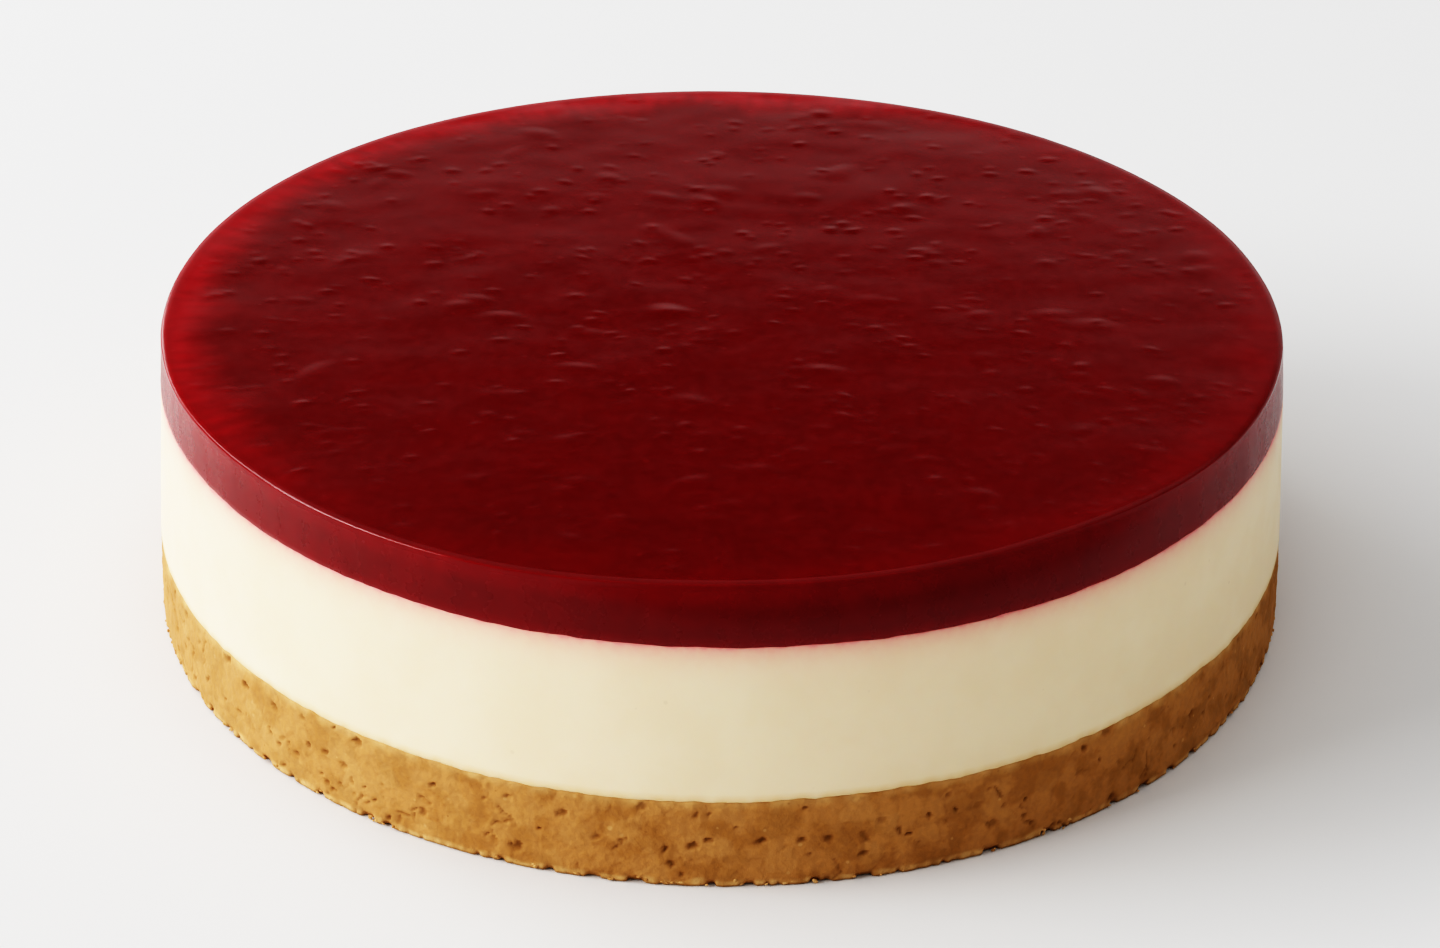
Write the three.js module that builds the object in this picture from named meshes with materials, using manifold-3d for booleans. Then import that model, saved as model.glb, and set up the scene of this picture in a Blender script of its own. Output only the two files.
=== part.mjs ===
// A whole round cheesecake in three layers, standing alone. A pressed biscuit crumb base
// carries a set cream cheese filling, and a layer of clear red berry jelly covers its top.
// Millimetres, +Z up. The origin is at the middle of the underside. Angles round the cake
// are measured from its front, -Y, towards +X.

import * as THREE from 'three';
import { mergeVertices } from 'three/addons/utils/BufferGeometryUtils.js';
import Module from 'manifold-3d';

// Driving dimensions: four radii of the side, from the top down, and the layers' depths
const BRIM_RADIUS = 99.4;
const RIM_RADIUS = 100;
const WAIST_RADIUS = 101.3;
const FOOT_RADIUS = 101.8;
const BASE_DEPTH = 16.2;
const FILLING_DEPTH = 28;
const JELLY_DEPTH = 10.15;

// The base was pressed a little thicker towards +X: its top rises by this share of x
const BASE_LEAN = 0.0024;

// Layers rest on each other with this clearance, so that their faces never cross
const LAYER_GAP = 0.3;

// The cut side is slightly out of round: each lobe adds a share of the radius
const LOBES = [
  { count: 1, share: -0.0052 },
  { count: 2, share: 0.0037 },
  { count: 3, share: 0.0052 },
];

// Facets round the cake
const SMOOTH_COLUMNS = 96;
const CRUMB_COLUMNS = 144;

// Jelly: its top slopes down a little to a tight edge, and has low lumps where it set over the fruit
const SHOULDER = { width: 2.5, drop: 0.3, steps: 2 };
const TIGHT_EDGE = { radius: 0.45, steps: 2 };
const JELLY_TOP_RINGS = 13;
const JELLY_SIDE_ROWS = 2;
const LUMPS = { count: 46, radius: [9, 17], height: [-0.25, 0.32], clearOfRim: 8 };

// Filling: rows of facets down its side, and the softened edges where it meets its neighbours
const FILLING_SIDE_ROWS = 4;
const SOFT_EDGE = 0.35;

// Base: ripples of the pressed crumb side, and of the line where the filling soaked into it
const BASE_SIDE_ROWS = 4;
const SIDE_RIPPLES = { count: 9, turns: [5, 34], rise: [-0.25, 0.25], size: 0.085 };
const LINE_RIPPLES = { count: 8, turns: [6, 46], size: 0.07 };
const FLAT_REACH = 81;
const FOOT_EDGE = 0.9;

// Small breaks in the crumb: pits and short cracks up the side, and nicks along the foot
const PITS = {
  count: 76,
  length: [1.2, 3.6],
  width: [0.7, 1.5],
  depth: [0.5, 1.1],
  tilt: [-0.9, 0.9],
  edge: 1.8,
};
const NICKS = { count: 80, length: [2.2, 5.2], width: [1, 2.6], depth: [0.7, 1.6], tilt: [-0.2, 0.2] };
const CRUMBS = { count: 28, size: [0.8, 1.7], stretch: [1, 1.5], tilt: [-0.6, 0.6], stand: 0.35, top: 9 };

const SEED = 4078;
const WELD = 1e-4;

const FILLING_TOP = BASE_DEPTH + FILLING_DEPTH;
const CAKE_HEIGHT = FILLING_TOP + JELLY_DEPTH;

const wasm = await Module();
wasm.setup();

// Seeded draws, the same in every run
function makeDraw(seed) {
  let state = seed;
  return ([low, high]) => {
    state = (state * 1664525 + 1013904223) % 4294967296;
    return low + (high - low) * (state / 4294967296);
  };
}

const FULL_TURN = [0, Math.PI * 2];

function repeat(count, make) {
  return Array.from({ length: count }, (_, index) => make(index));
}

// Share of the radius at an angle, 1 on a true circle
function outline(angle) {
  return LOBES.reduce((sum, lobe) => sum + lobe.share * Math.cos(lobe.count * angle), 1);
}

// Radius of the round side at a height, before the lobes
function sideRadius(z) {
  if (z <= BASE_DEPTH) return THREE.MathUtils.mapLinear(z, 0, BASE_DEPTH, FOOT_RADIUS, WAIST_RADIUS);
  if (z >= FILLING_TOP) return RIM_RADIUS;
  return THREE.MathUtils.mapLinear(z, BASE_DEPTH, FILLING_TOP, WAIST_RADIUS, RIM_RADIUS);
}

function angleOf(x, y) {
  return Math.atan2(x, -y);
}

// A round body turned from a profile of [radius, height] points that starts and ends on the axis
function turned(profile, columns) {
  const points = profile.map(([radius, height]) => new THREE.Vector2(radius, height));
  const geometry = new THREE.LatheGeometry(points, columns);
  geometry.rotateX(Math.PI / 2);
  return welded(geometry);
}

// One closed skin: shared points are merged, and faces that shrank to a line are dropped
function welded(geometry) {
  geometry.deleteAttribute('normal');
  geometry.deleteAttribute('uv');
  const merged = mergeVertices(geometry, WELD);
  const kept = [];
  const corners = merged.index.array;
  for (let i = 0; i < corners.length; i += 3) {
    const [a, b, c] = corners.subarray(i, i + 3);
    if (a !== b && b !== c && c !== a) kept.push(a, b, c);
  }
  merged.setIndex(kept);
  return merged;
}

// Moves every point of a body by a rule that is given its place and angle
function reshape(geometry, rule) {
  const place = new THREE.Vector3();
  const points = geometry.attributes.position;
  for (let i = 0; i < points.count; i += 1) {
    place.fromBufferAttribute(points, i);
    rule(place, angleOf(place.x, place.y));
    points.setXYZ(i, place.x, place.y, place.z);
  }
  return geometry;
}

function spread(place, share) {
  place.x *= share;
  place.y *= share;
}

// Heights from low to high in equal rows, ends included
function rows(low, high, count) {
  return repeat(count + 1, (index) => THREE.MathUtils.lerp(low, high, index / count));
}

// Sum of waves that run round the cake and lean with height
function makeRipples({ count, turns, rise = [0, 0], size }, draw) {
  const waves = repeat(count, () => ({
    turns: Math.round(draw(turns)),
    rise: draw(rise),
    phase: draw(FULL_TURN),
    size: size * draw([0.5, 1.5]),
  }));
  return (angle, z) => waves.reduce((sum, wave) => {
    const turn = wave.turns * angle + wave.rise * z + wave.phase;
    return sum + wave.size * Math.sin(turn);
  }, 0);
}

const draw = makeDraw(SEED);
const lineRipple = makeRipples(LINE_RIPPLES, draw);

// Height of the base's top under a point: leaning, and rippled towards the side
function baseTop(x, y) {
  const nearSide = THREE.MathUtils.smoothstep(Math.hypot(x, y), FLAT_REACH, WAIST_RADIUS);
  const ripple = nearSide * lineRipple(angleOf(x, y), 0);
  return BASE_DEPTH + BASE_LEAN * x + ripple;
}

// Low lumps of the jelly's top, faded out before the rim
function makeLumps(draw) {
  const lumps = repeat(LUMPS.count, () => {
    const reach = RIM_RADIUS * Math.sqrt(draw([0, 1]));
    const angle = draw(FULL_TURN);
    return {
      x: reach * Math.sin(angle),
      y: -reach * Math.cos(angle),
      radius: draw(LUMPS.radius),
      height: draw(LUMPS.height),
    };
  });
  return (x, y) => {
    const fromBrim = BRIM_RADIUS - Math.hypot(x, y);
    const fade = THREE.MathUtils.smoothstep(fromBrim, SHOULDER.width, LUMPS.clearOfRim);
    return fade * lumps.reduce((sum, lump) => {
      const near = 1 - ((x - lump.x) ** 2 + (y - lump.y) ** 2) / lump.radius ** 2;
      return near > 0 ? sum + lump.height * near * near : sum;
    }, 0);
  };
}

function jellyGeometry(draw) {
  const foot = FILLING_TOP + LAYER_GAP;
  const edgeFoot = CAKE_HEIGHT - SHOULDER.drop - TIGHT_EDGE.radius;
  const leanAt = (z) => THREE.MathUtils.mapLinear(z, FILLING_TOP, edgeFoot, RIM_RADIUS, BRIM_RADIUS);
  const side = rows(foot + SOFT_EDGE, edgeFoot, JELLY_SIDE_ROWS).map((z) => [leanAt(z), z]);
  const edge = repeat(TIGHT_EDGE.steps, (step) => {
    const turn = (Math.PI / 2) * ((step + 1) / TIGHT_EDGE.steps);
    const inward = TIGHT_EDGE.radius * (1 - Math.cos(turn));
    return [BRIM_RADIUS - inward, edgeFoot + TIGHT_EDGE.radius * Math.sin(turn)];
  });
  const flatRadius = BRIM_RADIUS - SHOULDER.width;
  const slope = repeat(SHOULDER.steps - 1, (step) => {
    const share = 1 - (step + 1) / SHOULDER.steps;
    const reach = (SHOULDER.width - TIGHT_EDGE.radius) * share;
    return [flatRadius + reach, CAKE_HEIGHT - SHOULDER.drop * share ** 2];
  });
  const top = rows(flatRadius, 0, JELLY_TOP_RINGS).map((radius) => [radius, CAKE_HEIGHT]);
  const under = [[0, foot], [RIM_RADIUS - SOFT_EDGE, foot]];
  const body = turned([...under, ...side, ...edge, ...slope, ...top], SMOOTH_COLUMNS);
  const lumpAt = makeLumps(draw);
  return reshape(body, (place, angle) => {
    if (place.z > CAKE_HEIGHT - WELD) place.z += lumpAt(place.x, place.y);
    spread(place, outline(angle));
  });
}

function fillingGeometry() {
  const low = BASE_DEPTH + LAYER_GAP;
  const high = FILLING_TOP;
  const side = rows(low + SOFT_EDGE, high - SOFT_EDGE, FILLING_SIDE_ROWS).map((z) => [sideRadius(z), z]);
  const under = [0, FLAT_REACH, WAIST_RADIUS - SOFT_EDGE].map((radius) => [radius, low]);
  const body = turned([...under, ...side, [RIM_RADIUS - SOFT_EDGE, high], [0, high]], SMOOTH_COLUMNS);
  return reshape(body, (place, angle) => {
    const upward = (place.z - low) / FILLING_DEPTH;
    spread(place, outline(angle));
    place.z += (1 - upward) * (baseTop(place.x, place.y) - BASE_DEPTH);
  });
}

// The base before its crumb is broken: a drum with a rippled side and a leaning top
function basePressed(draw) {
  const rippleAt = makeRipples(SIDE_RIPPLES, draw);
  const side = rows(FOOT_EDGE, BASE_DEPTH - SOFT_EDGE, BASE_SIDE_ROWS).map((z) => [sideRadius(z), z]);
  const top = [WAIST_RADIUS - SOFT_EDGE, FLAT_REACH, 0].map((radius) => [radius, BASE_DEPTH]);
  const body = turned([[0, 0], [FOOT_RADIUS - FOOT_EDGE, 0], ...side, ...top], CRUMB_COLUMNS);
  return reshape(body, (place, angle) => {
    const radius = Math.hypot(place.x, place.y);
    const onSide = radius > FLAT_REACH + SOFT_EDGE;
    const ripple = onSide ? rippleAt(angle, place.z) / RIM_RADIUS : 0;
    const upward = place.z / BASE_DEPTH;
    spread(place, outline(angle) + ripple);
    place.z += upward * (baseTop(place.x, place.y) - BASE_DEPTH);
  });
}

// An angular chip at the side: long round the cake or turned up it, and as deep as stated
function chip({ angle, z, length, width, depth, tilt, reach }) {
  const geometry = welded(new THREE.IcosahedronGeometry(1));
  const radius = (sideRadius(z) + reach) * outline(angle);
  geometry.scale(length / 2, depth, width / 2);
  geometry.rotateY(tilt);
  geometry.rotateZ(angle);
  geometry.translate(radius * Math.sin(angle), -radius * Math.cos(angle), z);
  return geometry;
}

// One of a number of places evenly round the cake, moved at random within its own share
function stepAngle(index, count, draw) {
  return ((index + draw([0, 1])) / count) * Math.PI * 2;
}

function pits(draw) {
  return repeat(PITS.count, (index) => chip({
    angle: stepAngle(index, PITS.count, draw),
    z: draw([PITS.edge, BASE_DEPTH - PITS.edge]),
    length: draw(PITS.length),
    width: draw(PITS.width),
    depth: draw(PITS.depth),
    tilt: draw(PITS.tilt),
    reach: 0,
  }));
}

function nicks(draw) {
  return repeat(NICKS.count, (index) => chip({
    angle: stepAngle(index, NICKS.count, draw),
    z: 0,
    length: draw(NICKS.length),
    width: draw(NICKS.width),
    depth: draw(NICKS.depth),
    tilt: draw(NICKS.tilt),
    reach: 0,
  }));
}

function crumbs(draw) {
  return repeat(CRUMBS.count, (index) => {
    const size = draw(CRUMBS.size);
    return chip({
      angle: stepAngle(index, CRUMBS.count, draw),
      z: draw([size, CRUMBS.top]),
      length: size * draw(CRUMBS.stretch),
      width: size,
      depth: size / 2,
      tilt: draw(CRUMBS.tilt),
      reach: CRUMBS.stand - size / 2,
    });
  });
}

function toSolid(geometry) {
  const vertProperties = new Float32Array(geometry.attributes.position.array);
  const triVerts = new Uint32Array(geometry.index.array);
  return new wasm.Manifold(new wasm.Mesh({ numProp: 3, vertProperties, triVerts }));
}

function toGeometry(solid) {
  const mesh = solid.getMesh();
  const geometry = new THREE.BufferGeometry();
  geometry.setAttribute('position', new THREE.BufferAttribute(mesh.vertProperties, 3));
  geometry.setIndex(new THREE.BufferAttribute(mesh.triVerts, 1));
  return geometry;
}

// The pressed base with its crumbs joined on and its pits and nicks cut out, less any loose scrap
function baseGeometry(draw) {
  const pressed = toSolid(basePressed(draw));
  const joined = crumbs(draw).reduce((body, piece) => body.add(toSolid(piece)), pressed);
  const cuts = [...pits(draw), ...nicks(draw)];
  const broken = cuts.reduce((body, piece) => body.subtract(toSolid(piece)), joined);
  const pieces = broken.decompose();
  const larger = (one, other) => (other.volume() > one.volume() ? other : one);
  return toGeometry(pieces.reduce(larger));
}

function layer(name, geometry, finish) {
  const mesh = new THREE.Mesh(geometry, new THREE.MeshStandardMaterial(finish));
  mesh.name = name;
  return mesh;
}

const cake = new THREE.Group();
cake.add(layer('biscuit_base', baseGeometry(draw), { color: 0xb47a34, roughness: 0.9, metalness: 0 }));
cake.add(layer('cream_filling', fillingGeometry(), { color: 0xf4ecd6, roughness: 0.5, metalness: 0 }));
cake.add(layer('berry_jelly', jellyGeometry(draw), { color: 0x6b0810, roughness: 0.2, metalness: 0 }));

// Standing on z = 0, over the middle of its own outline
const extent = new THREE.Box3().setFromObject(cake);
const middle = extent.getCenter(new THREE.Vector3());
cake.position.set(-middle.x, -middle.y, -extent.min.z);

export default cake;
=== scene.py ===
"""Studio scene of a whole round cheesecake: crumb base, cream cheese filling and red berry jelly top.

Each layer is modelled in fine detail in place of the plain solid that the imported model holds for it, with the
same place and size. Metres, +Z up. Angles round the cake are measured from its front, -Y, towards +X.
"""

import logging
import math
from dataclasses import dataclass
from enum import Enum
from typing import Sequence

import bmesh
import bpy
import numpy as np
from bpy.types import ID, Material, Mesh, Node, NodeOutputs, NodeSocket, NodeTree, Object
from mathutils import Matrix, Vector


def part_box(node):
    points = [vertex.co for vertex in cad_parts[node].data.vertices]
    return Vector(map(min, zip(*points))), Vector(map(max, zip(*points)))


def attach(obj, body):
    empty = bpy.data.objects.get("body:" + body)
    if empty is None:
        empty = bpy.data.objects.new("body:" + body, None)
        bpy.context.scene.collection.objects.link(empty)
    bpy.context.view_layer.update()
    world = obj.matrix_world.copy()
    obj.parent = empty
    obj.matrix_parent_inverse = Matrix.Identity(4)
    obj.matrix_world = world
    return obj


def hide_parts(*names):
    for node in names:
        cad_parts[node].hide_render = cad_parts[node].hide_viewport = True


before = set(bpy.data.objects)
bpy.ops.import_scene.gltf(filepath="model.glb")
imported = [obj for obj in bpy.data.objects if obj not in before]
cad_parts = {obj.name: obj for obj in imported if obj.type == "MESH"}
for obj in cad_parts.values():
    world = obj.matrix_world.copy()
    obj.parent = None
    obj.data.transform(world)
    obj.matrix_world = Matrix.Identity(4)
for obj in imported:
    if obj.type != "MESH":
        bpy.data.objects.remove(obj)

Array = np.ndarray
Colour = tuple[float, float, float, float]
Pair = tuple[float, float]

MM = 0.001
FULL_TURN = 2.0 * math.pi
BODY = "root"

# Directions round the cake, in degrees
FRONT, LEFT, RIGHT = 0.0, -90.0, 90.0

# Shares of the radius that put the cut side slightly out of round, by their number of lobes
LOBES = {1: -0.0052, 2: 0.0037, 3: 0.0052}
# How much the top of the base rises towards the right, as a share of the way
BASE_LEAN = 0.0024
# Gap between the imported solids, and how far the jelly's lumps and the base's crumbs stand out
LAYER_GAP = 0.3 * MM
LUMP_RISE = 0.27 * MM
CRUMB_PROUD = 0.3 * MM
# How far the fine columns reach over a layer's hidden faces, where the coarse ones start, and their number
FINE_LIP = 3.0 * MM
COARSE_START = 12.0 * MM
COARSE_COLUMNS = 64
# Smallest radius to divide by
TINY = 1e-9

log = logging.getLogger("cheesecake")


class Layer(Enum):
    """The cake's layers, each with the solid that it stands for and its slot in the record."""

    BASE = ("biscuit_base", "biscuit_crumb")
    FILLING = ("cream_filling", "cream_cheese")
    JELLY = ("berry_jelly", "red_jelly")

    @property
    def node(self) -> str:
        """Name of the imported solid."""
        return self.value[0]

    @property
    def slot(self) -> str:
        """Name of the record's material slot."""
        return self.value[1]


def ease(low: float | Array, high: float | Array, values: Array) -> Array:
    """Eases from 0 at low to 1 at high.

    Args:
        low: Value where the step starts.
        high: Value where it ends. It may be below low, and the step then falls.
        values: Values to ease.

    Returns:
        Shares from 0 to 1.
    """
    share = np.clip((values - low) / (high - low), 0.0, 1.0)
    return share * share * (3.0 - 2.0 * share)


def facing(angle: Array, direction: float) -> Array:
    """How squarely each angle faces a direction in degrees, from 1 towards it to -1 away from it."""
    return np.cos(angle - math.radians(direction))


@dataclass(frozen=True)
class Waves:
    """Smooth random waves over a grid of cells that repeats in both directions, the same in every run.

    Attributes:
        across: Cells in the first direction before the waves repeat.
        along: Cells in the second direction before the waves repeat.
        seed: Seed of the random slopes.
    """

    across: int
    along: int
    seed: int

    def read(self, u: Array, v: Array) -> Array:
        """Reads the waves.

        Args:
            u: Places in the first direction, in cells.
            v: Places in the second direction, in cells.

        Returns:
            Heights from about -1 to 1.
        """
        turns = np.random.default_rng(self.seed).uniform(0.0, FULL_TURN, (self.across, self.along))
        cell_u, cell_v = np.floor(u), np.floor(v)
        part_u, part_v = u - cell_u, v - cell_v
        ease_u = ease(0.0, 1.0, part_u)
        ease_v = ease(0.0, 1.0, part_v)

        def corner(step_u: int, step_v: int) -> Array:
            """Height that one corner of each place's cell gives there.

            Args:
                step_u: 0 for the corner's near side in the first direction, 1 for its far side.
                step_v: The same in the second direction.

            Returns:
                The heights.
            """
            column = (cell_u.astype(int) + step_u) % self.across
            row = (cell_v.astype(int) + step_v) % self.along
            turn = turns[column, row]
            return np.cos(turn) * (part_u - step_u) + np.sin(turn) * (part_v - step_v)

        low = corner(0, 0) + ease_u * (corner(1, 0) - corner(0, 0))
        high = corner(0, 1) + ease_u * (corner(1, 1) - corner(0, 1))
        return 1.5 * (low + ease_v * (high - low))

    def wrap(self, turn: Array, up: float | Array = 0.0) -> Array:
        """Reads the waves at places round the cake, in turns, and up it, in cells."""
        return self.read(turn * self.across, np.zeros_like(turn) + up)


def waves_round(turn: Array, *table: tuple[float, int, int]) -> Array:
    """Sum of waves that run round the cake, from a table of their rise, number and seed."""
    return sum(rise * Waves(count, 1, seed).wrap(turn) for rise, count, seed in table)


def waves_over(turn: Array, z: Array, table: Sequence[tuple[float, int, int, int, float]]) -> Array:
    """Sum of waves over the side, from a table of their rise, number, rows, seed and height of a row."""
    return sum(rise * Waves(count, rows, seed).wrap(turn, z / row) for rise, count, rows, seed, row in table)


@dataclass(frozen=True)
class CrumbCells:
    """Pressed crumbs as uneven cells over the side, over a grid that repeats round it.

    Attributes:
        across: Cells round the side.
        along: Rows of cells before they repeat.
        seed: Seed of the crumbs' middles and levels.
    """

    across: int
    along: int
    seed: int

    def wrap(self, turn: Array, up: Array) -> tuple[Array, Array, Array]:
        """Finds the crumb at each place.

        Args:
            turn: Places round the side, in turns.
            up: Places up the side, in cells.

        Returns:
            The crumb's random level from 0 to 1, how far its edge is in cells, and the level of the edge.
        """
        draw = np.random.default_rng(self.seed)
        middle_u = draw.uniform(0.05, 0.95, (self.across, self.along))
        middle_v = draw.uniform(0.05, 0.95, (self.across, self.along))
        level = draw.uniform(0.0, 1.0, (self.across, self.along))
        u, v = turn * self.across, up
        cell_u, cell_v = np.floor(u), np.floor(v)
        own, other = np.zeros_like(u), np.zeros_like(u)
        nearest, second = own + self.across, own + self.across
        for step_u in (-1, 0, 1):
            for step_v in (-1, 0, 1):
                column = (cell_u.astype(int) + step_u) % self.across
                row = (cell_v.astype(int) + step_v) % self.along
                away_u = cell_u + step_u + middle_u[column, row] - u
                away_v = cell_v + step_v + middle_v[column, row] - v
                away = np.hypot(away_u, away_v)
                closer = away < nearest
                between = ~closer & (away < second)
                other = np.where(closer, own, np.where(between, level[column, row], other))
                second = np.where(closer, nearest, np.where(between, away, second))
                own = np.where(closer, level[column, row], own)
                nearest = np.where(closer, away, nearest)
        return own, second - nearest, np.abs(own * 7.3 + other * 7.3) % 1.0


@dataclass(frozen=True)
class CakeForm:
    """Sizes of the whole cake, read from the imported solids, in metres.

    Attributes:
        axis: Place of the cake's upright axis.
        rim_radius: Mean radius of the jelly and of the filling's top.
        waist_radius: Mean radius where the filling meets the base.
        foot_radius: Mean radius at the foot, less what the crumbs may stand proud.
        base_depth: Mean depth of the base.
        filling_top: Height of the filling's top.
        height: Height of the jelly's top between its lumps.
        reach: Half of the base's size along X and along Y, which nothing passes.
    """

    axis: Pair
    rim_radius: float
    waist_radius: float
    foot_radius: float
    base_depth: float
    filling_top: float
    height: float
    reach: Pair

    # Rise, number and seed of the waves in the two lines between the layers
    BASE_LINE = ((0.30 * MM, 14, 11), (0.28 * MM, 70, 12), (0.20 * MM, 260, 13))
    JELLY_LINE = ((0.12 * MM, 24, 21), (0.15 * MM, 110, 22), (0.09 * MM, 270, 23))
    # How far the line under the jelly rises at the left
    JELLY_LIFT = 0.25 * MM

    @classmethod
    def from_frame(cls) -> "CakeForm":
        """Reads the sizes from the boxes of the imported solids.

        Returns:
            The sizes.
        """
        jelly_low, jelly_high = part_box(Layer.JELLY.node)
        cream_low, cream_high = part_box(Layer.FILLING.node)
        base_low, base_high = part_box(Layer.BASE.node)

        def mean_radius(low: Vector, high: Vector) -> float:
            """Mean of a box's half sizes along X and Y."""
            return (high.x - low.x + high.y - low.y) / 4.0

        return cls(
            axis=((jelly_low.x + jelly_high.x) / 2.0, (jelly_low.y + jelly_high.y) / 2.0),
            rim_radius=mean_radius(jelly_low, jelly_high),
            waist_radius=mean_radius(cream_low, cream_high),
            foot_radius=mean_radius(base_low, base_high) - CRUMB_PROUD,
            base_depth=(cream_low.z + base_high.z - LAYER_GAP) / 2.0,
            filling_top=jelly_low.z - LAYER_GAP,
            height=jelly_high.z - LUMP_RISE,
            reach=(base_high.x, base_high.y),
        )

    def outline(self, angle: Array) -> Array:
        """Share of the radius at each angle, 1 on a true circle."""
        return 1.0 + sum(share * np.cos(count * angle) for count, share in LOBES.items())

    def base_line(self, x: Array, turn: Array) -> Array:
        """Height of the line between base and filling at each place along X and round the cake, in turns."""
        return self.base_depth + BASE_LEAN * x + waves_round(turn, *self.BASE_LINE)

    def jelly_line(self, turn: Array) -> Array:
        """Height of the line between filling and jelly at each place round the cake, in turns."""
        at_left = self.JELLY_LIFT * ease(0.72, 0.92, facing(turn * FULL_TURN, LEFT))
        return self.filling_top + waves_round(turn, *self.JELLY_LINE) + at_left


@dataclass(frozen=True)
class Zone:
    """A stretch of a turned profile with its own number of columns round the axis.

    Attributes:
        points: Radius and height of each point, in order.
        columns: Faces round the axis.
    """

    points: tuple[Pair, ...]
    columns: int


def make_mesh(name: str, body: bmesh.types.BMesh) -> Mesh:
    """Ends the work on a body and gives it as a mesh of that name.

    Args:
        name: Name of the mesh.
        body: The body, which is gone afterwards.

    Returns:
        The mesh.
    """
    mesh = bpy.data.meshes.new(name)
    body.to_mesh(mesh)
    body.free()
    return mesh


def add_object(name: str, data: ID) -> Object:
    """Adds a mesh, light or camera to the scene.

    Args:
        name: Name of the object.
        data: The mesh, light or camera.

    Returns:
        The object.
    """
    added = bpy.data.objects.new(name, data)
    bpy.context.scene.collection.objects.link(added)
    return added


class Lathe:
    """Turns the zones of a profile round the upright axis and joins them into one closed skin."""

    RING_SLACK = 1e-5
    WELD = 2e-6
    SECTORS = 16

    def __init__(self, zones: Sequence[Zone]) -> None:
        """Turns and joins the zones.

        Args:
            zones: Zones from the middle of the underside, round the side, to the middle of the top.
        """
        self.body = bmesh.new()
        for zone in zones:
            self.turn(zone)
        bmesh.ops.remove_doubles(self.body, verts=self.body.verts, dist=self.WELD)
        self.open_edges = [edge for edge in self.body.edges if edge.is_boundary]
        for below, above in zip(zones, zones[1:]):
            loops = self.ring(below.points[-1]) + self.ring(above.points[0])
            bmesh.ops.bridge_loops(self.body, edges=loops)
        bmesh.ops.recalc_face_normals(self.body, faces=self.body.faces)

    def turn(self, zone: Zone) -> None:
        """Spins one sector of a zone's profile, and doubles it until it goes all the way round.

        Args:
            zone: The zone.
        """
        line = [self.body.verts.new((radius, 0.0, height)) for radius, height in zone.points]
        edges = [self.body.edges.new(pair) for pair in zip(line, line[1:])]
        older = set(self.body.faces)
        bmesh.ops.spin(
            self.body,
            geom=line + edges,
            cent=(0.0, 0.0, 0.0),
            axis=(0.0, 0.0, 1.0),
            angle=FULL_TURN / self.SECTORS,
            steps=zone.columns // self.SECTORS,
            use_merge=False,
        )
        band = [face for face in self.body.faces if face not in older]
        sectors = 1
        while sectors < self.SECTORS:
            copied = bmesh.ops.duplicate(self.body, geom=band)["geom"]
            corners = [part for part in copied if isinstance(part, bmesh.types.BMVert)]
            turned = Matrix.Rotation(FULL_TURN * sectors / self.SECTORS, 3, "Z")
            bmesh.ops.rotate(self.body, cent=(0.0, 0.0, 0.0), matrix=turned, verts=corners)
            band += [part for part in copied if isinstance(part, bmesh.types.BMFace)]
            sectors *= 2

    def ring(self, point: Pair) -> list[bmesh.types.BMEdge]:
        """Finds the open edges of a band at one point of its profile.

        Args:
            point: Radius and height of the ring.

        Returns:
            The edges of the ring.
        """
        radius, height = point

        def on_ring(vertex: bmesh.types.BMVert) -> bool:
            """Whether a point lies on the ring."""
            off_radius = abs(math.hypot(vertex.co.x, vertex.co.y) - radius)
            return off_radius < self.RING_SLACK and abs(vertex.co.z - height) < self.RING_SLACK

        return [edge for edge in self.open_edges if on_ring(edge.verts[0]) and on_ring(edge.verts[1])]


def even_steps(low: float, high: float, step: float) -> list[float]:
    """Values from low to high, ends included, in equal steps near the wanted one.

    Args:
        low: First value.
        high: Last value, which may be below the first.
        step: Wanted size of a step.

    Returns:
        The values in order.
    """
    count = max(1, round(abs(high - low) / step))
    return [low + (high - low) * index / count for index in range(count + 1)]


def read_points(mesh: Mesh) -> Array:
    """Reads a mesh's points.

    Args:
        mesh: The mesh.

    Returns:
        Their places, one row each.
    """
    flat = np.empty(len(mesh.vertices) * 3, np.float32)
    mesh.vertices.foreach_get("co", flat)
    return flat.reshape(-1, 3).astype(float)


def write_points(mesh: Mesh, places: Array) -> None:
    """Moves a mesh's points to new places, one row each."""
    mesh.vertices.foreach_set("co", places.astype(np.float32).ravel())
    mesh.update()


def write_mask(mesh: Mesh, name: str, values: Array) -> None:
    """Keeps one value a point in a mesh, under a name, for its material to read."""
    mask = mesh.attributes.new(name, "FLOAT", "POINT")
    mask.data.foreach_set("value", values.astype(np.float32))


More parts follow.
